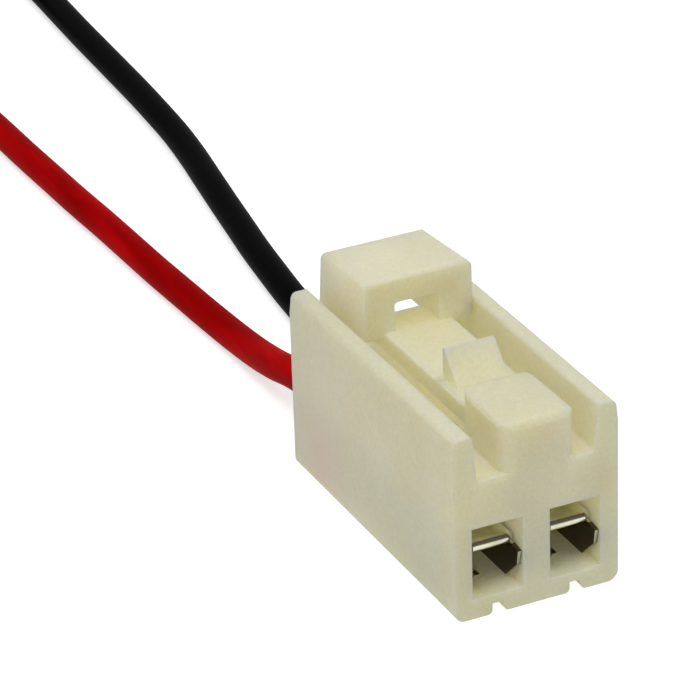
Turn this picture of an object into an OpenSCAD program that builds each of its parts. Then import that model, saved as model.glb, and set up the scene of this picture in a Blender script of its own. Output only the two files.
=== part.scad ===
// Two-way wire to board connector: a moulded housing with its own locking lever, two folded
// crimp contacts and their two leads. X runs across the contacts, Z is up, and the mating face
// looks along -Y. The origin is under the middle of the housing. Sizes are in millimetres.

/* [Housing] */
// Distance between the centre lines of the two cavities
pitch = 3.96; // [3.8:0.02:4.6]
// Width of a cavity
cavity_w = 2.6; // [2.5:0.05:2.8]
// Height of a cavity
cavity_h = 3.65; // [3.5:0.05:4]
// Thickness of the wall outside each cavity
side_wall = 0.92; // [0.8:0.02:1.2]
// Thickness of the floor under the cavities
floor_t = 1; // [0.9:0.05:1.3]
// Thickness of the roof over the cavities, up to the deck
roof_t = 2.35; // [2:0.05:2.8]
// Length from the mating face to the wire side
body_l = 16.8; // [16:0.1:19]
// Height of the side rails above the deck
rail_h = 2.4; // [2:0.1:2.8]
// Thickness of a side rail at its top
rail_t = 1; // [0.8:0.05:1.1]
// How much thicker a side rail is at its foot
rail_draft = 0.2; // [0.1:0.05:0.3]
// How far the outer face of a rail leans in at its top
rail_lean = 0.12; // [0:0.02:0.2]
// Rounding of a rail's outer top edge
rail_outer_r = 0.42; // [0.2:0.02:0.5]
// Rounding of a rail's inner top edge
rail_inner_r = 0.26; // [0.1:0.02:0.3]
// Rounding of a rail's top corner at the wire side
rail_end_r = 0.15; // [0.1:0.05:0.9]
// Rounding of the two long bottom edges
foot_r = 0.55; // [0.3:0.05:0.7]
// Width of the groove under each cavity
groove_w = 0.6; // [0.4:0.05:0.8]
// Depth of the groove under each cavity
groove_h = 0.55; // [0.3:0.05:0.7]
// Distance from the mating face to the window over each cavity
window_y = 4.45; // [4.4:0.05:4.9]
// Length of the window that the contact's lance springs into
window_l = 1.35; // [1.2:0.05:1.6]
// Width of that window
window_w = 1.4; // [1.3:0.05:1.5]
// Chamfer round each wire entry
entry_chamfer = 0.3; // [0.1:0.05:0.4]

/* [Lever] */
// How far the lever's centre line lies to the right of the housing's
lever_offset = 0.23; // [0:0.01:0.26]
// Width of the block that the lever grows from
root_w = 3.75; // [3.5:0.05:4.2]
// Length of that block
root_l = 4.5; // [4:0.1:4.8]
// Rounding of the block's two rear corners, seen from above
root_r = 1.1; // [0.3:0.1:1.3]
// Rounding of its two front corners, seen from above
root_front_corner_r = 0.7; // [0.2:0.05:0.9]
// Width of the springing arm
arm_w = 3.6; // [3.2:0.1:4]
// Thickness of the arm
arm_t = 0.9; // [0.7:0.05:1.1]
// Gap between the deck and the arm
arm_gap = 0.8; // [0.6:0.05:1]
// Distance from the mating face to the catch's locking face
catch_y = 6.95; // [6.5:0.05:8]
// Width of the catch
catch_w = 2.6; // [2.2:0.1:3]
// Height of the catch above the arm
catch_h = 1.6; // [1.2:0.1:1.8]
// Slope of the catch's ramp in degrees
catch_slope = 47; // [42:1:52]
// Length of the thumb tab, which ends flush with the wire side
tab_l = 4.8; // [4:0.1:5.4]
// Height of the tab's front edge above the rails
tab_rise = 2.1; // [1.8:0.1:2.6]
// How much lower the tab's rear edge is than its front edge
tab_drop = 0.4; // [0.2:0.1:0.8]
// Clearance between the tab and each rail, if the lever were centred
tab_gap = 0.26; // [0.22:0.01:0.5]
// How far the tab lies to the left of the lever's centre line
tab_shift = 0.05; // [0:0.01:0.1]
// How far the tab leans to the right from its foot to its top
tab_lean = 0.12; // [0:0.02:0.2]
// Width of the tunnel through the tab
tunnel_w = 2.33; // [1.8:0.05:2.6]
// Thickness of the tab above the tunnel, at its front edge
tab_roof = 1.35; // [1.1:0.05:1.5]

/* [Contact] */
// Thickness of the contacts' sheet metal
sheet_t = 0.2; // [0.15:0.01:0.22]
// Clearance on each side of a contact that is centred in its cavity
contact_gap = 0.2; // [0.18:0.01:0.25]
// How far each contact lies to the right in its cavity
contact_play = 0.17; // [0:0.01:0.17]
// Height of a contact's folded box
contact_h = 2.55; // [2.4:0.05:2.65]
// Outer radius of the box's two long bends
bend_r = 0.4; // [0.3:0.05:0.5]
// Outer radius of the rolled lip that a post meets first
lip_r = 0.3; // [0.26:0.02:0.34]
// Length of the neck between the box and the conductor crimp
neck_l = 1.4; // [1.2:0.1:1.8]
// Length of the conductor crimp, and of the insulation crimp
crimp_l = 2.2; // [1.8:0.1:2.4]
// Distance between the two crimps
crimp_space = 1.2; // [1:0.1:1.4]
// Width of the conductor crimp
crimp_w = 1.5; // [1.4:0.05:1.6]
// Height of the conductor crimp
crimp_h = 1.05; // [1:0.05:1.15]
// Clearance between a crimp and the wire in it
crimp_clear = 0.02; // [0.01:0.01:0.04]

/* [Leads] */
// Diameter over the insulation
wire_d = 1.6; // [1.5:0.05:1.7]
// Diameter of the stranded conductor
conductor_d = 0.76; // [0.7:0.02:0.8]
// Length of the stripped and tinned far end
tip_l = 5; // [4:0.5:6]

/* [Hidden] */
$fn = 48;

// How far a cutting shape passes the face that it cuts, and how deep joined shapes overlap
over = 0.5;

// Housing: heights above the underside, and widths
body_w = pitch + cavity_w + 2 * side_wall;
ceiling_z = floor_t + cavity_h;
deck_z = ceiling_z + roof_t;
rail_z = deck_z + rail_h;
lean_h = 1.1;
foot_edge_r = 0.25;
channel_r = 0.15;
front_edge_r = 0.12;

// Lever: heights and the two ends of the tab
arm_z = deck_z + arm_gap;
arm_top = arm_z + arm_t;
arm_edge_r = 0.15;
root_top_r = 0.32;
root_front_r = 0.45;
catch_run = catch_h / tan(catch_slope);
crest_r = 0.1;
catch_end_r = 0.3;
dimple_d = 0.45;
dimple_h = 0.4;
tab_draft = 0.12;
tab_y = body_l - tab_l;
tab_sink = 0.25;
tab_z = arm_top - tab_sink;
tab_top = rail_z + tab_rise;
tab_tilt = atan(tab_drop / tab_l);
tab_edge_r = 0.42;
tab_foot_r = 0.3;
tab_w = 2 * (rail_face_x(tab_z + tab_foot_r) - tab_gap);
tab_end_r = 0.25;
tab_foot_l = 1.6;
tunnel_r = 0.2;

// Contact: heights and stations along Y from the mating face
contact_w = cavity_w - 2 * contact_gap;
plate_top = floor_t + contact_h;
plate_z = plate_top - sheet_t;
plate_mid = plate_top - sheet_t / 2;
lip_y = 0.62;
lip_under_z = plate_top - 2 * lip_r;
leaf_w = contact_w - 2 * bend_r;
nose_y = 0.1;
nose_top_z = floor_t + 1.82;
nose_low = [0.22, floor_t + 1.09];
heel_y = 1.35;
left_wall_y = 1.7;
left_nose = [0.4, floor_t + 1.02];
left_chin = [1, floor_t + 0.43];
leaf_low_y = 3.4;
leaf_low_z = floor_t + 1.25;
leaf_end_y = 5.2;
leaf_end_z = floor_t + 1.65;
flange_y = 3.8;
flange_w = 0.5;
lance_y = 2.4;
lance_window_gap = 0.05;
lance_w = window_w - 2 * (contact_play + lance_window_gap);
lance_side_gap = 0.1;
lance_end_gap = 0.1;
lance_under_gap = 0.06;
lance_end_y = window_y + window_l - lance_end_gap;
lance_skin = sheet_t * 0.56;
lance_slope = (ceiling_z - lance_under_gap - lance_skin - plate_mid) / (window_y - lance_y);
box_rear = window_y + window_l + 0.4;
neck_h = 0.8;
crimp_y = box_rear + neck_l;
ring_y = crimp_y + crimp_l + crimp_space;
ring_end = ring_y + crimp_l;
ring_r = wire_d / 2 + crimp_clear;
ring_seam = 0.12;
web_w = 1;
cutoff_w = 0.6;
cutoff_l = 0.4;

// Strands: squeezed flat in the conductor crimp, round where they enter the insulation
flat_w = 1.2 * conductor_d;
flat_h = 0.55 * conductor_d;
flat_z = plate_z - crimp_clear - flat_h / 2;
brush_l = 0.3;
strip_y = ring_y - 0.2;

// Leads: each leaves its crimp straight, comes down to the surface and lies on it
wire_z = plate_z - ring_r;
lie_z = wire_d / 2;
tube_sides = 8;
// Along each lead: how far to the right of its exit, how far behind it, and the share that is
// left of the exit's height
red_path = [
    [0, 2.4, 0.97], [0, 4.8, 0.8], [0, 7, 0.5], [0.1, 9.5, 0.2], [0.1, 12.2, 0.03],
    [-0.05, 15.1, 0], [-0.2, 18.1, 0], [-0.35, 21.2, 0], [-0.45, 24.5, 0], [-0.55, 27.8, 0],
    [-0.7, 31.2, 0], [-0.8, 34.6, 0], [-0.9, 38, 0], [-0.95, 41.2, 0], [-1.05, 45, 0],
    [-1.35, 48.8, 0], [-1.8, 52.6, 0], [-2.25, 56.4, 0], [-2.65, 60.2, 0], [-2.85, 64, 0],
    [-2.9, 68, 0], [-2.9, 72, 0], [-2.9, 76, 0], [-2.9, 80, 0], [-2.9, 84, 0], [-2.9, 88.2, 0]];
black_path = [
    [0, 2.4, 0.97], [0.05, 4.8, 0.8], [0.1, 7, 0.5], [0.2, 9.5, 0.2], [0.35, 12.2, 0.03],
    [0.6, 15.2, 0], [0.95, 18.3, 0], [1.3, 21.1, 0], [1.75, 24.1, 0], [2.2, 27.1, 0],
    [2.7, 30.3, 0], [3.2, 33.5, 0], [3.6, 36.7, 0], [3.85, 39.9, 0], [4.05, 43, 0],
    [4.2, 46.2, 0], [4.35, 49.5, 0], [4.5, 52.8, 0], [4.7, 56.3, 0], [4.9, 59.8, 0],
    [5, 63.1, 0]];
// Each lead ends in a flat hank of straight runs and half-circle folds, wound inwards. Where
// its first run begins, in the same terms, the way it turns (1 is to the left), its number
// of folds, and the lengths of its full runs and of its last run
red_hank = [[-2.9, 90.1], -1, 2, 11.5, 5.8];
black_hank = [[5, 65.1], 1, 3, 13, 5.1];
fold_r = 3 * wire_d;
hank_hole_r = 1.5 * wire_d;
tail_bend_r = 3.5;
tail_turn = 40;

function unit(v) = v / norm(v);

// Corner i of a closed outline of [x, y, radius] corners: where its arc begins and ends, and
// the arc's centre
function corner(c, i) = [c[i][0], c[i][1]];
function before(c, i) = unit(corner(c, (i + len(c) - 1) % len(c)) - corner(c, i));
function after(c, i) = unit(corner(c, (i + 1) % len(c)) - corner(c, i));
function half_angle(c, i) = acos(before(c, i) * after(c, i)) / 2;
function reach(c, i) = c[i][2] / tan(half_angle(c, i));
function arc_ends(c, i) =
    c[i][2] == 0 ? [corner(c, i)]
    : [corner(c, i) + reach(c, i) * before(c, i), corner(c, i) + reach(c, i) * after(c, i)];
function arc_centre(c, i) =
    corner(c, i) + c[i][2] / sin(half_angle(c, i)) * unit(before(c, i) + after(c, i));
function turns_left(c, i) = cross(after(c, i), before(c, i)) > 0;

// An outline given counter-clockwise as [x, y, radius] corners, each rounded by a true arc
module rounded(c) {
    ends = [0 : len(c) - 1];
    difference() {
        union() {
            polygon([for (i = ends) each arc_ends(c, i)]);
            for (i = ends)
                if (c[i][2] > 0 && turns_left(c, i))
                    translate(arc_centre(c, i)) circle(c[i][2]);
        }
        for (i = ends)
            if (c[i][2] > 0 && !turns_left(c, i))
                translate(arc_centre(c, i)) circle(c[i][2]);
    }
}

// A flat shape drawn across (x, z) and drawn out from y = from to y = to
module along_y(from, to) {
    translate([0, to, 0]) rotate([90, 0, 0]) linear_extrude(to - from) children();
}

// A flat shape drawn from the side (y, z) and drawn out to a width centred on x = 0
module along_x(width) {
    translate([-width / 2, 0, 0]) rotate([90, 0, 90]) linear_extrude(width) children();
}

// A bent strip of sheet, thickness t, along a centre line
module strip(line, t) {
    for (i = [0 : len(line) - 2]) {
        step = line[i + 1] - line[i];
        translate(line[i]) rotate(atan2(step[1], step[0]))
            translate([0, -t / 2]) square([norm(step), t]);
        if (i > 0)
            translate(line[i]) circle(d = t);
    }
}

// How far a rail's inner face lies from the middle of the housing at height z
function rail_face_x(z) = body_w / 2 - rail_t - rail_draft * (rail_z - z) / rail_h;
function cavity_x(side) = side * pitch / 2;
function contact_x(side) = cavity_x(side) + contact_play;

// The housing's outline from the front: rails, deck, and the grooves in the underside
function right_half() = [
    [body_w / 2, 0, foot_r],
    [body_w / 2, rail_z - lean_h, 0],
    [body_w / 2 - rail_lean, rail_z, rail_outer_r],
    [body_w / 2 - rail_t, rail_z, rail_inner_r],
    [body_w / 2 - rail_t - rail_draft, deck_z, channel_r]];
function left_half() =
    [for (i = [len(right_half()) - 1 : -1 : 0]) let (p = right_half()[i]) [-p[0], p[1], p[2]]];
function grooves() = [for (side = [-1, 1]) each [
    [cavity_x(side) - groove_w / 2, 0, foot_edge_r],
    [cavity_x(side) - groove_w / 2, groove_h, 0],
    [cavity_x(side) + groove_w / 2, groove_h, 0],
    [cavity_x(side) + groove_w / 2, 0, foot_edge_r]]];

module shell() {
    intersection() {
        along_y(0, body_l) rounded(concat(right_half(), left_half(), grooves()));
        along_x(body_w + 2 * over) rounded([
            [0, 0, 0],
            [body_l, 0, 0],
            [body_l, rail_z, rail_end_r],
            [0, rail_z, front_edge_r]]);
    }
}

// A wire entry's chamfer: the opening widens by entry_chamfer at the wire side
module entry() {
    wide = entry_chamfer + over;
    mid_z = floor_t + cavity_h / 2;
    intersection() {
        translate([0, 0, mid_z - cavity_h]) linear_extrude(2 * cavity_h) polygon([
            [-cavity_w / 2, body_l - entry_chamfer],
            [cavity_w / 2, body_l - entry_chamfer],
            [cavity_w / 2 + wide, body_l + over],
            [-cavity_w / 2 - wide, body_l + over]]);
        along_x(2 * cavity_w) polygon([
            [body_l - entry_chamfer, floor_t],
            [body_l + over, floor_t - wide],
            [body_l + over, ceiling_z + wide],
            [body_l - entry_chamfer, ceiling_z]]);
    }
}

// What one contact's place takes out of the shell: cavity, lance window and wire entry
module contact_place() {
    translate([-cavity_w / 2, -over, floor_t]) cube([cavity_w, body_l + 2 * over, cavity_h]);
    translate([-window_w / 2, window_y, ceiling_z - over])
        cube([window_w, window_l, roof_t + 2 * over]);
    entry();
}

// The block at the front that carries the lever
module root() {
    intersection() {
        translate([0, 0, deck_z - over]) linear_extrude(rail_h + over) rounded([
            [-root_w / 2, 0, root_front_corner_r],
            [root_w / 2, 0, root_front_corner_r],
            [root_w / 2, root_l, root_r],
            [-root_w / 2, root_l, root_r]]);
        along_x(root_w + 2 * over) rounded([
            [0, deck_z - 2 * over, 0],
            [root_l, deck_z - 2 * over, 0],
            [root_l, rail_z, root_top_r],
            [0, rail_z, root_front_r]]);
        along_y(-over, root_l + over) rounded([
            [-root_w / 2, deck_z - 2 * over, 0],
            [root_w / 2, deck_z - 2 * over, 0],
            [root_w / 2, rail_z, root_top_r],
            [-root_w / 2, rail_z, root_top_r]]);
    }
}

// The springing arm with its catch and the mark of an ejector pin beside it
module arm() {
    difference() {
        union() {
            along_y(root_l - root_r - over, tab_y + tab_foot_l) rounded([
                [-arm_w / 2, arm_z, 0],
                [arm_w / 2, arm_z, 0],
                [arm_w / 2, arm_top, arm_edge_r],
                [-arm_w / 2, arm_top, arm_edge_r]]);
            intersection() {
                along_x(catch_w) rounded([
                    [catch_y - catch_run, arm_top - over, 0],
                    [catch_y, arm_top - over, 0],
                    [catch_y, arm_top + catch_h, crest_r],
                    [catch_y - catch_run, arm_top, 0]]);
                along_y(catch_y - catch_run - over, catch_y + over) rounded([
                    [-catch_w / 2, arm_top - over, 0],
                    [catch_w / 2, arm_top - over, 0],
                    [catch_w / 2, arm_top + catch_h, catch_end_r],
                    [-catch_w / 2, arm_top + catch_h, catch_end_r]]);
            }
        }
        translate([-catch_w / 2 - dimple_d / 2, catch_y - dimple_d / 2, arm_top - dimple_h])
            cylinder(d = dimple_d, h = dimple_h + over);
    }
}

// The thumb tab: a sloping top, drafted sides, and a tunnel from front to rear
module tab() {
    low = tab_z - tab_top - 2 * over;
    difference() {
        intersection() {
            translate([0, tab_y, tab_top]) rotate([-tab_tilt, 0, 0])
                along_y(-2 * over, tab_l + 2 * over) rounded([
                    [-tab_w / 2, low, 0],
                    [tab_w / 2, low, 0],
                    [tab_w / 2 - tab_draft + tab_lean, 0, tab_edge_r],
                    [-tab_w / 2 + tab_draft + tab_lean, 0, tab_edge_r]]);
            along_y(tab_y - over, body_l + over) rounded([
                [-tab_w / 2, tab_z, tab_foot_r],
                [tab_w / 2, tab_z, tab_foot_r],
                [tab_w / 2 + tab_lean, tab_top + over, 0],
                [-tab_w / 2, tab_top + over, 0]]);
            along_x(tab_w + 2 * over) rounded([
                [tab_y, tab_z - over, 0],
                [body_l, tab_z - over, 0],
                [body_l, tab_top - tab_drop, tab_end_r],
                [tab_y, tab_top, tab_end_r]]);
        }
        along_y(tab_y - over, body_l + over) rounded([
            [-tunnel_w / 2, tab_z - over, 0],
            [tunnel_w / 2, tab_z - over, 0],
            [tunnel_w / 2, tab_top - tab_roof, tunnel_r],
            [-tunnel_w / 2, tab_top - tab_roof, tunnel_r]]);
    }
}

module housing() {
    color("cornsilk") translate([0, -body_l / 2, 0]) {
        difference() {
            shell();
            for (side = [-1, 1])
                translate([cavity_x(side), 0, 0]) contact_place();
        }
        translate([lever_offset, 0, 0]) {
            root();
            arm();
            translate([-tab_shift, 0, 0]) tab();
        }
    }
}

// Sheet bent into an upside-down U of outer width w and height h, under plate_top
module channel(w, h) {
    low = plate_top - h;
    difference() {
        rounded([
            [-w / 2, low, 0],
            [w / 2, low, 0],
            [w / 2, plate_top, bend_r],
            [-w / 2, plate_top, bend_r]]);
        rounded([
            [-w / 2 + sheet_t, low - over, 0],
            [w / 2 - sheet_t, low - over, 0],
            [w / 2 - sheet_t, plate_z, bend_r - sheet_t],
            [-w / 2 + sheet_t, plate_z, bend_r - sheet_t]]);
    }
}

// The outlines that the box's two walls are cut to, seen from the side. The right wall runs
// forward to a blunt nose as high as the lip, and the left wall only to a small low one
module right_wall() {
    polygon([
        [lip_y + lip_r, plate_top],
        [lip_y + lip_r, lip_under_z],
        [nose_y, nose_top_z],
        nose_low,
        [heel_y, floor_t],
        [box_rear, floor_t],
        [box_rear, plate_top]]);
}

module left_wall() {
    polygon([
        [left_wall_y, plate_top],
        [left_wall_y, left_nose[1]],
        left_nose,
        left_chin,
        [heel_y, floor_t],
        [box_rear, floor_t],
        [box_rear, plate_top]]);
}

// The box round the post, with its base plate slotted where the lance is cut free
module contact_box() {
    slot_w = lance_w + 2 * lance_side_gap;
    difference() {
        intersection() {
            along_y(0, box_rear) channel(contact_w, contact_h);
            union() {
                translate([contact_w / 2, 0, 0]) along_x(contact_w) right_wall();
                translate([-contact_w / 2, 0, 0]) along_x(contact_w) left_wall();
            }
        }
        translate([-slot_w / 2, lance_y + sheet_t, plate_z - over])
            cube([slot_w, lance_end_y + lance_end_gap - lance_y - sheet_t, sheet_t + 2 * over]);
    }
    for (side = [0, 1])
        mirror([side, 0, 0]) translate([-contact_w / 2, flange_y, floor_t])
            cube([flange_w, box_rear - flange_y, sheet_t]);
}

// The rolled lip, which reaches across to the outer face of the left wall, and the leaf that
// folds back from it to press on the post
module spring() {
    turn = [lip_y + lip_r, plate_top - lip_r];
    under_mid = lip_under_z + sheet_t / 2;
    translate([-bend_r / 2, 0, 0]) along_x(contact_w - bend_r) {
        difference() {
            translate(turn) circle(lip_r);
            translate(turn) circle(lip_r - sheet_t);
            translate([turn[0], lip_under_z - over]) square([lip_r + over, 2 * lip_r + 2 * over]);
        }
        strip([[turn[0], under_mid], [turn[0] + lip_r, under_mid]], sheet_t);
        strip([[turn[0], plate_mid], [left_wall_y + sheet_t, plate_mid]], sheet_t);
    }
    along_x(leaf_w) strip([
        [turn[0], under_mid],
        [turn[0] + lip_r, under_mid],
        [leaf_low_y, leaf_low_z],
        [leaf_end_y, leaf_end_z]], sheet_t);
}

module lance() {
    along_x(lance_w) strip([
        [lance_y, plate_mid],
        [lance_end_y, plate_mid + lance_slope * (lance_end_y - lance_y)]], sheet_t);
}

// A flat shape with half-round ends
module stadium(w, h) {
    square([w - h, h], center = true);
    for (side = [-1, 1])
        translate([side * (w - h) / 2, 0]) circle(d = h);
}

// The two wings rolled down into the strands, which leave two lobes underneath
module conductor_crimp() {
    lobe_r = crimp_w / 4;
    low = plate_top - crimp_h;
    along_y(crimp_y, crimp_y + crimp_l) difference() {
        union() {
            rounded([
                [-crimp_w / 2, low + lobe_r, 0],
                [crimp_w / 2, low + lobe_r, 0],
                [crimp_w / 2, plate_top, bend_r - sheet_t / 2],
                [-crimp_w / 2, plate_top, bend_r - sheet_t / 2]]);
            for (side = [-1, 1])
                translate([side * lobe_r, low + lobe_r]) circle(lobe_r);
        }
        translate([0, flat_z]) stadium(flat_w + 2 * crimp_clear, flat_h + 2 * crimp_clear);
    }
}

// Two wings rolled round the insulation, open by a seam underneath
module insulation_crimp() {
    along_y(ring_y, ring_end) difference() {
        translate([0, wire_z]) circle(ring_r + sheet_t);
        translate([0, wire_z]) circle(ring_r);
        translate([-ring_seam / 2, wire_z - ring_r - sheet_t - over])
            square([ring_seam, ring_r + over]);
    }
}

module contact(side) {
    color("silver") translate([contact_x(side), -body_l / 2, 0]) {
        contact_box();
        spring();
        lance();
        along_y(box_rear - sheet_t, crimp_y - sheet_t) channel(crimp_w, neck_h);
        conductor_crimp();
        insulation_crimp();
        translate([-web_w / 2, crimp_y - neck_l / 2, plate_z])
            cube([web_w, ring_y + sheet_t - crimp_y + neck_l / 2, sheet_t]);
        translate([-cutoff_w / 2, ring_end - sheet_t, plate_z])
            cube([cutoff_w, cutoff_l + sheet_t, sheet_t]);
    }
}

module strands(side) {
    color("gainsboro") translate([contact_x(side), -body_l / 2, 0]) {
        along_y(crimp_y - brush_l, crimp_y + crimp_l)
            translate([0, flat_z]) stadium(flat_w, flat_h);
        hull() {
            along_y(crimp_y + crimp_l - crimp_clear, crimp_y + crimp_l)
                translate([0, flat_z]) stadium(flat_w, flat_h);
            along_y(strip_y - crimp_clear, strip_y)
                translate([0, wire_z]) circle(d = conductor_d, $fn = 32);
        }
    }
}

// The route's centre line, from the end of the insulation to the hank
function route(side, path) = concat(
    [[contact_x(side), strip_y - body_l / 2, wire_z],
     [contact_x(side), ring_end - body_l / 2, wire_z],
     [contact_x(side), body_l / 2, wire_z]],
    [for (p = path) [
        contact_x(side) + p[0],
        body_l / 2 + p[1],
        lie_z + p[2] * (wire_z - lie_z)]]);

function heading(line, i) = unit(line[min(i + 1, len(line) - 1)] - line[max(i - 1, 0)]);

function ring(centre, along) =
    let (right = unit(cross(along, [0, 0, 1])), up = cross(right, along))
    [for (k = [0 : tube_sides - 1])
        let (a = 360 * (k + 0.5) / tube_sides)
        centre + wire_d / 2 * (cos(a) * right + sin(a) * up)];

// A round tube swept along a line of points
module tube(line) {
    last = len(line) - 1;
    s = tube_sides;
    sides = [for (i = [0 : last - 1], k = [0 : s - 1])
        [i * s + k, i * s + (k + 1) % s, (i + 1) * s + (k + 1) % s, (i + 1) * s + k]];
    near_cap = [for (k = [s - 1 : -1 : 0]) k];
    far_cap = [for (k = [0 : s - 1]) last * s + k];
    polyhedron([for (i = [0 : last]) each ring(line[i], heading(line, i))],
        concat(sides, [near_cap, far_cap]));
}

// A hank's frame: the middle of its near fold, with the first run fold_r off on the +x side
module at_hank(side, hank) {
    start = hank[0];
    translate([contact_x(side) + start[0] - hank[1] * fold_r, body_l / 2 + start[1], 0])
        mirror([hank[1] < 0 ? 1 : 0, 0, 0]) children();
}

// An outline with round ends, round the two ends of a hank's runs
module runs(hank, r) {
    translate([-r, 0]) square([2 * r, hank[3]]);
    circle(r);
    translate([0, hank[3]]) circle(r);
}

module hank_outline(hank) {
    runs(hank, fold_r + wire_d / 2);
}

module hank_solid(side, hank) {
    at_hank(side, hank) linear_extrude(wire_d) difference() {
        hank_outline(hank);
        runs(hank, hank_hole_r);
    }
}

// How far the last run lies to the +x side of the hank's middle
function last_lane(hank) =
    hank[2] % 2 == 0 ? fold_r - hank[2] / 2 * wire_d : -fold_r + (hank[2] - 1) / 2 * wire_d;

// The bare end points into the hank's open middle
module tip(side, hank) {
    odd = hank[2] % 2;
    inward = odd == 1 ? 1 : -1;
    bend_in = tail_bend_r * (1 - cos(tail_turn));
    bend_on = hank[4] + tail_bend_r * sin(tail_turn);
    color("gainsboro") at_hank(side, hank) intersection() {
        linear_extrude(wire_d) runs(hank, hank_hole_r);
        translate([
            last_lane(hank) + inward * bend_in,
            odd == 1 ? hank[3] - bend_on : bend_on,
            lie_z])
            rotate(odd == 1 ? 180 + tail_turn : tail_turn) rotate([-90, 0, 0])
                cylinder(d = conductor_d, h = tip_l);
    }
}

module lead(side, path, hank) {
    difference() {
        tube(route(side, path));
        at_hank(side, hank) linear_extrude(2 * wire_d) hank_outline(hank);
    }
}

module contact_left() { contact(-1); }
module contact_right() { contact(1); }
module strands_left() { strands(-1); }
module strands_right() { strands(1); }
module wire_red() { color("firebrick") lead(-1, red_path, red_hank); }
module wire_black() { color("dimgray") lead(1, black_path, black_hank); }
module hank_red() { color("firebrick") hank_solid(-1, red_hank); }
module hank_black() { color("dimgray") hank_solid(1, black_hank); }
module tip_red() { tip(-1, red_hank); }
module tip_black() { tip(1, black_hank); }

housing();
contact_left();
contact_right();
strands_left();
strands_right();
wire_red();
wire_black();
hank_red();
hank_black();
tip_red();
tip_black();
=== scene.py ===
import math
import bpy
import bmesh
from mathutils import Matrix, Vector


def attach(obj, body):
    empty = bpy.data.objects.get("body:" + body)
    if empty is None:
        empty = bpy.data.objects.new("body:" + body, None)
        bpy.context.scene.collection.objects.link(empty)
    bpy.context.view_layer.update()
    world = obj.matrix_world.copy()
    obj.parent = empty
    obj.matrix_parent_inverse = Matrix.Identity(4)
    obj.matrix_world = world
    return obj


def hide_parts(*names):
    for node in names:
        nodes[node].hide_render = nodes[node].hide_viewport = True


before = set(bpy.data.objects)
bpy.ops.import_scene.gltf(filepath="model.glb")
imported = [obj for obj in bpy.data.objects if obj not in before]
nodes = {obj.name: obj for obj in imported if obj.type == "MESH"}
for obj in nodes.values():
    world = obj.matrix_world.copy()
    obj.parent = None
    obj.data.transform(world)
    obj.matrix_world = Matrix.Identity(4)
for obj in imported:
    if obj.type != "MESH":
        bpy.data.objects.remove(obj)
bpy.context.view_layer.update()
mm = 0.001  # the dictionaries below are in millimetres and degrees unless they say otherwise

scene = bpy.context.scene
scene.view_settings.view_transform = "Standard"


# camera: a long lens at the front left, looking down a little and rolled a touch
view = {
    "place": (-76.857, -153.226, 98.160),
    "azimuth": -25.112,
    "elevation": 27.427,
    "roll": -1.87,
    "lens": 215.74,
    "sensor": 36,
    "nearest": 10,
    "farthest": 5000,
}


def makeCamera():
    data = bpy.data.cameras.new("camera")
    data.lens = view["lens"]
    data.sensor_width = view["sensor"]
    data.clip_start = view["nearest"] * mm
    data.clip_end = view["farthest"] * mm
    camera = bpy.data.objects.new("camera", data)
    turn = Matrix.Rotation(math.radians(view["azimuth"]), 4, "Z")
    tip = Matrix.Rotation(math.radians(90 - view["elevation"]), 4, "X")
    roll = Matrix.Rotation(math.radians(view["roll"]), 4, "Z")
    camera.matrix_world = Matrix.Translation(Vector(view["place"]) * mm) @ turn @ tip @ roll
    scene.collection.objects.link(camera)
    scene.camera = camera
    print("camera placed")


makeCamera()


# what the materials below are put together from
def newMaterial(name):
    material = bpy.data.materials.new(name)
    material.use_nodes = True
    tree = material.node_tree
    return material, tree, tree.nodes["Principled BSDF"]


# lengthwise under 1 draws the pattern out along the object
def addNoise(tree, scale, detail, rough=0.5, lengthwise=1):
    coords = tree.nodes.new("ShaderNodeTexCoord")
    mapping = tree.nodes.new("ShaderNodeMapping")
    mapping.inputs["Scale"].default_value = (1, lengthwise, 1)
    noise = tree.nodes.new("ShaderNodeTexNoise")
    noise.inputs["Scale"].default_value = scale
    noise.inputs["Detail"].default_value = detail
    noise.inputs["Roughness"].default_value = rough
    tree.links.new(coords.outputs["Object"], mapping.inputs["Vector"])
    tree.links.new(mapping.outputs["Vector"], noise.inputs["Vector"])
    return noise.outputs["Fac"]


def addRamp(tree, source, stops, low, high):
    ramp = tree.nodes.new("ShaderNodeValToRGB")
    for element, stop, color in zip(ramp.color_ramp.elements, stops, (low, high)):
        element.position = stop
        element.color = (*color, 1)
    tree.links.new(source, ramp.inputs["Fac"])
    return ramp.outputs["Color"]


def addBump(tree, bsdf, source, strength, height):
    bump = tree.nodes.new("ShaderNodeBump")
    bump.inputs["Strength"].default_value = strength
    bump.inputs["Distance"].default_value = height * mm
    tree.links.new(source, bump.inputs["Height"])
    tree.links.new(bump.outputs["Normal"], bsdf.inputs["Normal"])


def addRange(tree, source, start, end, atStart, atEnd):
    span = tree.nodes.new("ShaderNodeMapRange")
    for key, value in (("From Min", start), ("From Max", end), ("To Min", atStart), ("To Max", atEnd)):
        span.inputs[key].default_value = value
    tree.links.new(source, span.inputs["Value"])
    return span.outputs["Result"]


def addMath(tree, operation, a, b=None):
    step = tree.nodes.new("ShaderNodeMath")
    step.operation = operation
    tree.links.new(a, step.inputs[0])
    if b is not None:
        tree.links.new(b, step.inputs[1])
    return step.outputs[0]


# lays one colour over another; each may be a plain colour or come from another node
def layOver(tree, under, over, share, blend="MIX"):
    mix = tree.nodes.new("ShaderNodeMix")
    mix.data_type = "RGBA"
    mix.blend_type = blend
    for place, value in ((0, share), (6, under), (7, over)):
        if isinstance(value, bpy.types.NodeSocket):
            tree.links.new(value, mix.inputs[place])
        else:
            mix.inputs[place].default_value = value
    return mix.outputs[2]


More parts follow.
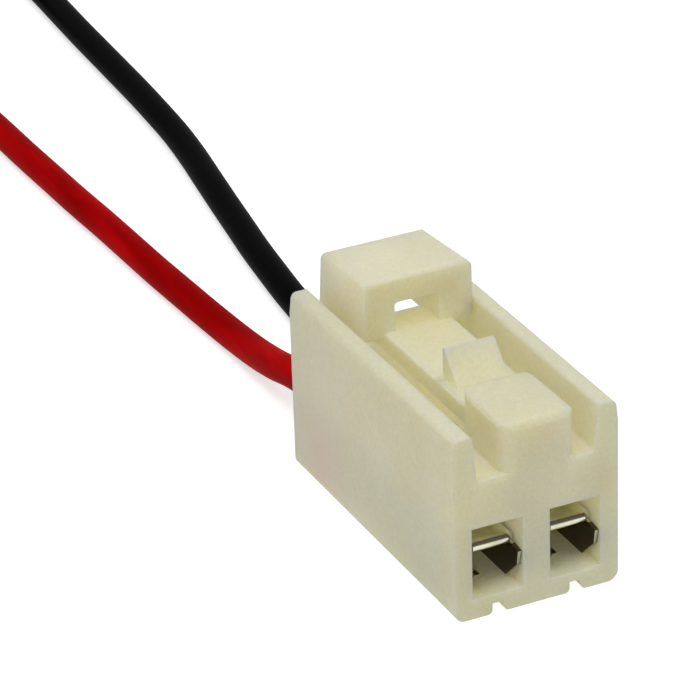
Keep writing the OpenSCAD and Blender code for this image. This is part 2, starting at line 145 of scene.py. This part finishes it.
# fades from a share at one place to nothing at its reach
def addSpot(tree, place, reach, share):
    coords = tree.nodes.new("ShaderNodeTexCoord")
    away = tree.nodes.new("ShaderNodeVectorMath")
    away.operation = "DISTANCE"
    away.inputs[1].default_value = Vector(place) * mm
    tree.links.new(coords.outputs["Object"], away.inputs[0])
    fade = addRange(tree, away.outputs["Value"], 0, reach * mm, share, 0)
    fade.node.interpolation_type = "SMOOTHSTEP"
    return fade


nylonFinish = {
    "pale": (0.905, 0.873, 0.67),
    "warm": (0.885, 0.835, 0.60),
    "patches": {"scale": 260, "detail": 3},
    "stops": (0.35, 0.65),
    "grain": {"scale": 5600, "detail": 4, "rough": 0.6},  # the fine eroded skin that the mould leaves
    "grainStrength": 0.8,
    "grainHeight": 0.04,
    "pitShade": 0.93,                        # painted shade: how dark the grain's pits are painted
    "roughness": 0.5,
    "refraction": 1.53,
    "spread": (1.0, 0.84, 0.48),        # how far red, green and blue travel inside
    "depth": 1.6,
    "through": 0.2,                     # share of light that passes through
    "letOn": (0.87, 0.87, 0.78),        # share of a lamp's light that each skin lets on
    "paintedRedGlow": (0.93, 0.70, 0.60),        # painted light: the red lead's glow seen through the wall beside it
    "paintedRedGlowAt": (-4.2, 5.2, 1.8),
    "paintedRedGlowReach": 3.6,
    "paintedRedGlowShare": 0.6,
}


# milky plastic casts a weak shadow: part of a lamp's light goes straight on through it
def softenShadow(tree, bsdf, letOn):
    path = tree.nodes.new("ShaderNodeLightPath")
    clear = tree.nodes.new("ShaderNodeBsdfTransparent")
    clear.inputs["Color"].default_value = (*letOn, 1)
    mix = tree.nodes.new("ShaderNodeMixShader")
    tree.links.new(path.outputs["Is Shadow Ray"], mix.inputs[0])
    tree.links.new(bsdf.outputs[0], mix.inputs[1])
    tree.links.new(clear.outputs[0], mix.inputs[2])
    tree.links.new(mix.outputs[0], tree.nodes["Material Output"].inputs["Surface"])


def makeNylon():
    finish = nylonFinish
    material, tree, bsdf = newMaterial("naturalNylon")
    patches = addNoise(tree, **finish["patches"])
    tint = addRamp(tree, patches, finish["stops"], finish["warm"], finish["pale"])
    grain = addNoise(tree, **finish["grain"])
    # painted shade: the grain's low places darker, following the same noise as the bump
    paintedPitShade = addRamp(tree, grain, finish["stops"], (finish["pitShade"],) * 3, (1, 1, 1))
    pitShadedTint = layOver(tree, tint, paintedPitShade, 1, "MULTIPLY")
    # painted light: the red lead's glow through the wall, strongest at one spot beside it and fading out
    paintedGlowShare = addSpot(tree, finish["paintedRedGlowAt"], finish["paintedRedGlowReach"], finish["paintedRedGlowShare"])
    tree.links.new(layOver(tree, pitShadedTint, (*finish["paintedRedGlow"], 1), paintedGlowShare), bsdf.inputs["Base Color"])
    bsdf.inputs["Subsurface Weight"].default_value = 1
    bsdf.inputs["Subsurface Radius"].default_value = finish["spread"]
    bsdf.inputs["Subsurface Scale"].default_value = finish["depth"] * mm
    bsdf.inputs["Roughness"].default_value = finish["roughness"]
    bsdf.inputs["IOR"].default_value = finish["refraction"]
    bsdf.inputs["Transmission Weight"].default_value = finish["through"]
    addBump(tree, bsdf, grain, finish["grainStrength"], finish["grainHeight"])
    softenShadow(tree, bsdf, finish["letOn"])
    return material


tinFinish = {
    "dark": (0.46, 0.46, 0.35),
    "light": (0.74, 0.75, 0.60),
    "cloud": {"scale": 900, "detail": 4},
    "stops": (0.3, 0.7),
    "rolling": {"scale": 4200, "detail": 5},
    "rollingStrength": 0.3,
    "rollingHeight": 0.01,
    "sheetRoughness": 0.2,
    "wireRoughness": 0.35,
    "paintedDarkReflection": (0.09, 0.075, 0.055),  # painted dark reflection of the cavity's unlit inside, on the side walls, noses and lip
    "sideways": (0.6, 0.95),       # how far a wall looks sideways where the painted dark reflection starts and is full
    "noseEnd": -7.87,              # where the noses' painted dark reflection ends, and over what length
    "noseFade": 0.1,
    "noseShare": 0.7,
    "lipEnd": -7.62,
    "lipFade": 0.05,
    "upwards": (0.2, 0.4),         # how far the lip's front looks up where its painted dark reflection starts and is full
}


# 1 where the sheet gets its painted dark reflection: walls facing sideways, the noses and the upward-facing
# front of the lip
def addPaintedReflectionMask(tree):
    coords = tree.nodes.new("ShaderNodeTexCoord")
    facing = tree.nodes.new("ShaderNodeSeparateXYZ")
    place = tree.nodes.new("ShaderNodeSeparateXYZ")
    tree.links.new(coords.outputs["Normal"], facing.inputs[0])
    tree.links.new(coords.outputs["Object"], place.inputs[0])
    walls = addRange(tree, addMath(tree, "ABSOLUTE", facing.outputs["X"]), *tinFinish["sideways"], 0, 1)
    noseEnd, lipEnd = tinFinish["noseEnd"], tinFinish["lipEnd"]
    noses = addRange(tree, place.outputs["Y"], (noseEnd - tinFinish["noseFade"]) * mm, noseEnd * mm,
                     tinFinish["noseShare"], 0)
    front = addRange(tree, place.outputs["Y"], (lipEnd - tinFinish["lipFade"]) * mm, lipEnd * mm, 1, 0)
    upper = addRange(tree, facing.outputs["Z"], *tinFinish["upwards"], 0, 1)
    lip = addMath(tree, "MULTIPLY", front, upper)
    return addMath(tree, "MAXIMUM", addMath(tree, "MAXIMUM", walls, noses), lip)


def makeTin(name, roughness, withPaintedReflection=False):
    material, tree, bsdf = newMaterial(name)
    cloud = addNoise(tree, **tinFinish["cloud"])
    tint = addRamp(tree, cloud, tinFinish["stops"], tinFinish["dark"], tinFinish["light"])
    # painted dark reflection laid over the tin's own tone
    if withPaintedReflection:
        tint = layOver(tree, tint, (*tinFinish["paintedDarkReflection"], 1), addPaintedReflectionMask(tree))
    tree.links.new(tint, bsdf.inputs["Base Color"])
    bsdf.inputs["Metallic"].default_value = 1
    bsdf.inputs["Roughness"].default_value = roughness
    rolling = addNoise(tree, **tinFinish["rolling"])
    addBump(tree, bsdf, rolling, tinFinish["rollingStrength"], tinFinish["rollingHeight"])
    return material


insulationFinish = {
    "red": {"dark": (0.31, 0, 0.0005), "light": (0.55, 0.0005, 0.001)},
    "black": {"dark": (0.0003, 0.0003, 0.0003), "light": (0.001, 0.001, 0.001)},
    "streaks": {"scale": 900, "detail": 3, "lengthwise": 0.16},
    "stops": (0.35, 0.65),
    "roughness": 0.5,
    "sheen": 0.01,
    "skin": {"scale": 2600, "detail": 4},
    "skinStrength": 0.2,
    "skinHeight": 0.03,
}


def makeInsulation(color):
    finish = insulationFinish
    material, tree, bsdf = newMaterial(color + "Insulation")
    streaks = addNoise(tree, **finish["streaks"])
    tint = addRamp(tree, streaks, finish["stops"], finish[color]["dark"], finish[color]["light"])
    tree.links.new(tint, bsdf.inputs["Base Color"])
    bsdf.inputs["Roughness"].default_value = finish["roughness"]
    bsdf.inputs["Specular IOR Level"].default_value = finish["sheen"]
    skin = addNoise(tree, **finish["skin"])
    addBump(tree, bsdf, skin, finish["skinStrength"], finish["skinHeight"])
    return material


nylon = makeNylon()
# the sheet gets painted dark reflections on its side walls, noses and lip
tinSheet = makeTin("tinnedSheet", tinFinish["sheetRoughness"], withPaintedReflection=True)
tinWire = makeTin("tinnedWire", tinFinish["wireRoughness"])
redSkin = makeInsulation("red")
blackSkin = makeInsulation("black")
print("materials made")


# leads: both leave the housing straight, come down to the table and end in a small flat hank
leads = {
    "diameter": 1.6,
    "length": 157,
    "exitHeight": 2.53,
    "stripAt": 2.4,          # end of the insulation inside the housing
    "crimpEnd": 4.8,
    "wireSide": 8.4,
    "foldRadius": 4.8,       # first fold of a hank; each one closes in by half a diameter
    "foldSteps": 16,
    "tailBend": 3.5,
    "tailTurn": 40,
    "tailSteps": 6,
    "pathSteps": 6,          # between each two points of a path
    "roundness": 6,          # bevel resolution of the tube
}

# each point of a path: across and along from where the lead leaves the housing, then the share of
# its height there that is left
redLead = {
    "exitX": -1.81,
    "path": [(0, 2.4, 0.97), (0, 4.8, 0.8), (0, 7, 0.5), (0.1, 9.5, 0.2), (0.1, 12.2, 0.03),
             (-0.05, 15.1, 0), (-0.2, 18.1, 0), (-0.35, 21.2, 0), (-0.45, 24.5, 0), (-0.55, 27.8, 0),
             (-0.7, 31.2, 0), (-0.8, 34.6, 0), (-0.9, 38, 0), (-0.95, 41.2, 0), (-1.05, 45, 0),
             (-1.35, 48.8, 0), (-1.8, 52.6, 0), (-2.25, 56.4, 0), (-2.65, 60.2, 0), (-2.85, 64, 0),
             (-2.9, 68, 0), (-2.9, 72, 0), (-2.9, 76, 0), (-2.9, 80, 0), (-2.9, 84, 0), (-2.9, 88.2, 0)],
    "hank": {"start": (-2.9, 90.1), "way": -1, "folds": 2, "run": 11.5, "last": 5.8},
}
blackLead = {
    "exitX": 2.15,
    "path": [(0, 2.4, 0.97), (0.05, 4.8, 0.8), (0.1, 7, 0.5), (0.2, 9.5, 0.2), (0.35, 12.2, 0.03),
             (0.6, 15.2, 0), (0.95, 18.3, 0), (1.3, 21.1, 0), (1.75, 24.1, 0), (2.2, 27.1, 0),
             (2.7, 30.3, 0), (3.2, 33.5, 0), (3.6, 36.7, 0), (3.85, 39.9, 0), (4.05, 43, 0),
             (4.2, 46.2, 0), (4.35, 49.5, 0), (4.5, 52.8, 0), (4.7, 56.3, 0), (4.9, 59.8, 0),
             (5, 63.1, 0)],
    "hank": {"start": (5, 65.1), "way": 1, "folds": 3, "run": 13, "last": 5.1},
}

# the bare ends: a ring of fine strands round one, with a slight twist
tips = {"length": 5, "diameter": 0.76, "strand": 0.24, "ring": 6, "twist": 140, "steps": 12, "roundness": 3}


# a smooth line through given points
def smoothThrough(points):
    line = []
    for i in range(len(points) - 1):
        a = points[max(i - 1, 0)]
        b = points[i]
        c = points[i + 1]
        d = points[min(i + 2, len(points) - 1)]
        for k in range(leads["pathSteps"]):
            t = k / leads["pathSteps"]
            line.append(0.5 * (2 * b + (c - a) * t + (2 * a - 5 * b + 4 * c - d) * t ** 2
                               + (3 * b - a - 3 * c + d) * t ** 3))
    line.append(points[-1])
    return line


# arc from a point, turning left round a circle; returns its points, the new place and heading
def arc(place, heading, radius, degrees, steps):
    centre = place + Matrix.Rotation(math.pi / 2, 3, "Z") @ heading * radius
    line = []
    for k in range(1, steps + 1):
        turn = Matrix.Rotation(math.radians(degrees * k / steps), 3, "Z")
        line.append(centre + turn @ (place - centre))
    return line, line[-1], turn @ heading


# the hank's folds and runs from its start at (0, 0), wound to the left
def hankLine(hank):
    place = Vector((0, 0, 0))
    heading = Vector((0, 1, 0))
    line = [place]
    for k in range(hank["folds"]):
        place = place + heading * hank["run"]
        line.append(place)
        radius = leads["foldRadius"] - k * leads["diameter"] / 2
        bend, place, heading = arc(place, heading, radius, 180, leads["foldSteps"])
        line += bend
    place = place + heading * hank["last"]
    line.append(place)
    bend, place, heading = arc(place, heading, leads["tailBend"], leads["tailTurn"], leads["tailSteps"])
    return line + bend, heading


def placedHank(lead):
    hank = lead["hank"]
    line, heading = hankLine(hank)
    x, y = hank["start"]
    start = Vector((lead["exitX"] + x, leads["wireSide"] + y, leads["diameter"] / 2))
    flip = Matrix.Diagonal((hank["way"], 1, 1))
    return [start + flip @ point for point in line], flip @ heading


def leadLine(lead):
    lieHeight = leads["diameter"] / 2
    drop = leads["exitHeight"] - lieHeight
    points = [Vector((lead["exitX"], leads[key], leads["exitHeight"]))
              for key in ("stripAt", "crimpEnd", "wireSide")]
    for x, y, share in lead["path"]:
        points.append(Vector((lead["exitX"] + x, leads["wireSide"] + y, lieHeight + share * drop)))
    hank = placedHank(lead)[0]
    return smoothThrough(points + [hank[0]]) + hank[1:]


# round tubes of one thickness, one along each line
def makeTubes(name, lines, diameter, roundness, material):
    curve = bpy.data.curves.new(name, "CURVE")
    curve.dimensions = "3D"
    curve.bevel_depth = diameter / 2 * mm
    curve.bevel_resolution = roundness
    curve.use_fill_caps = True
    for line in lines:
        spline = curve.splines.new("POLY")
        spline.points.add(len(line) - 1)
        for point, place in zip(spline.points, line):
            point.co = (*(place * mm), 1)
        spline.use_smooth = True
    curve.materials.append(material)
    piece = bpy.data.objects.new(name, curve)
    scene.collection.objects.link(piece)
    return piece


def makeLead(name, lead, material, replaced):
    piece = makeTubes(name, [leadLine(lead)], leads["diameter"], leads["roundness"], material)
    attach(piece, "root")
    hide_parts(*replaced)
    return piece


def makeTip(name, lead, replaced):
    hank, way = placedHank(lead)
    up = Vector((0, 0, 1))
    side = up.cross(way)
    ringRadius = (tips["diameter"] - tips["strand"]) / 2
    lines = []
    for k in range(tips["ring"] + 1):
        radius = ringRadius if k < tips["ring"] else 0  # the last strand is the middle one
        line = []
        for i in range(tips["steps"] + 1):
            share = i / tips["steps"]
            angle = math.radians(360 / tips["ring"] * k + tips["twist"] * share)
            centre = hank[-1] + way * (tips["length"] * share)
            line.append(centre + radius * (math.cos(angle) * side + math.sin(angle) * up))
        lines.append(line)
    piece = makeTubes(name, lines, tips["strand"], tips["roundness"], tinWire)
    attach(piece, "root")
    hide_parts(replaced)
    return piece


def makeCords():
    for color, lead, skin in (("red", redLead, redSkin), ("black", blackLead, blackSkin)):
        cord = makeLead("lead_" + color, lead, skin, ["wire_" + color, "hank_" + color])
        tip = makeTip("strands_" + color + "_end", lead, "tip_" + color)
    print("leads laid")


makeCords()


# housing: the moulded solid with its edges broken by a hair, as a mould leaves them
moulding = {
    "edge": 0.07,
    "segments": 2,
    "sharp": 24,      # edges that turn more than this are broken
    "merge": 0.002,
    "flat": 0.6,      # faces that turn less than this against each other become one
}


def makeHousing():
    mesh = nodes["housing"].data.copy()
    bm = bmesh.new()
    bm.from_mesh(mesh)
    bmesh.ops.remove_doubles(bm, verts=bm.verts, dist=moulding["merge"] * mm)
    bmesh.ops.dissolve_limit(bm, angle_limit=math.radians(moulding["flat"]), verts=bm.verts,
                             edges=bm.edges, use_dissolve_boundaries=False)
    bm.to_mesh(mesh)
    bm.free()
    mesh.materials.clear()
    mesh.materials.append(nylon)
    piece = bpy.data.objects.new("moulded_housing", mesh)
    scene.collection.objects.link(piece)
    for polygon in mesh.polygons:
        polygon.use_smooth = True
    bevel = piece.modifiers.new("edges", "BEVEL")
    bevel.width = moulding["edge"] * mm
    bevel.segments = moulding["segments"]
    bevel.limit_method = "ANGLE"
    bevel.angle_limit = math.radians(moulding["sharp"])
    bevel.harden_normals = True
    bevel.use_clamp_overlap = True
    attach(piece, "root")
    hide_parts("housing")
    print("housing made")


makeHousing()


# contacts and the strands in their crimps: the solids as they are, with their own finish
def dress(node, material):
    mesh = nodes[node].data
    mesh.materials.clear()
    mesh.materials.append(material)


for side in ("left", "right"):
    dress("contact_" + side, tinSheet)
    dress("strands_" + side, tinWire)
print("contacts dressed")


# studio: even light from all round, a soft key almost overhead and a weak fill from the right
studio = {
    "surround": 0.39,
    "key": {"place": (-70, -60, 270), "size": 150, "power": 0.33},   # power in watts
    "fill": {"place": (160, -40, 200), "size": 220, "power": 0.06},
}
tableTop = {
    "reach": 3000,        # from the middle to each side
    "tone": 0.8,
    "roughness": 0.9,
    "sheen": 0.1,
    "glow": 0.62,         # added where the table is seen, so that it reads white
}


# 1 where the background is seen: straight on, in a reflection or through something clear
def seenBackground(tree):
    path = tree.nodes.new("ShaderNodeLightPath")
    either = addMath(tree, "MAXIMUM", path.outputs["Is Camera Ray"], path.outputs["Is Glossy Ray"])
    return addMath(tree, "MAXIMUM", either, path.outputs["Is Transmission Ray"])


def makeTable():
    bm = bmesh.new()
    bmesh.ops.create_grid(bm, x_segments=1, y_segments=1, size=tableTop["reach"] * mm)
    mesh = bpy.data.meshes.new("table")
    bm.to_mesh(mesh)
    bm.free()
    table = bpy.data.objects.new("table", mesh)
    scene.collection.objects.link(table)
    material, tree, bsdf = newMaterial("paleTable")
    bsdf.inputs["Base Color"].default_value = (tableTop["tone"],) * 3 + (1,)
    bsdf.inputs["Roughness"].default_value = tableTop["roughness"]
    bsdf.inputs["Specular IOR Level"].default_value = tableTop["sheen"]
    glow = tree.nodes.new("ShaderNodeEmission")
    strength = addRange(tree, seenBackground(tree), 0, 1, 0, tableTop["glow"])
    tree.links.new(strength, glow.inputs["Strength"])
    both = tree.nodes.new("ShaderNodeAddShader")
    tree.links.new(bsdf.outputs[0], both.inputs[0])
    tree.links.new(glow.outputs[0], both.inputs[1])
    tree.links.new(both.outputs[0], tree.nodes["Material Output"].inputs["Surface"])
    mesh.materials.append(material)


def makeLamp(name):
    lamp = studio[name]
    data = bpy.data.lights.new(name, "AREA")
    data.size = lamp["size"] * mm
    data.energy = lamp["power"]
    light = bpy.data.objects.new(name, data)
    light.location = Vector(lamp["place"]) * mm
    light.rotation_euler = (-Vector(lamp["place"])).to_track_quat("-Z", "Y").to_euler()
    scene.collection.objects.link(light)


def makeSurround():
    world = bpy.data.worlds.new("surround")
    world.use_nodes = True
    scene.world = world
    tree = world.node_tree
    background = tree.nodes["Background"]
    background.inputs["Color"].default_value = (1, 1, 1, 1)
    strength = addRange(tree, seenBackground(tree), 0, 1, studio["surround"], 1)
    tree.links.new(strength, background.inputs["Strength"])


makeTable()
makeLamp("key")
makeLamp("fill")
makeSurround()
print("studio lit")


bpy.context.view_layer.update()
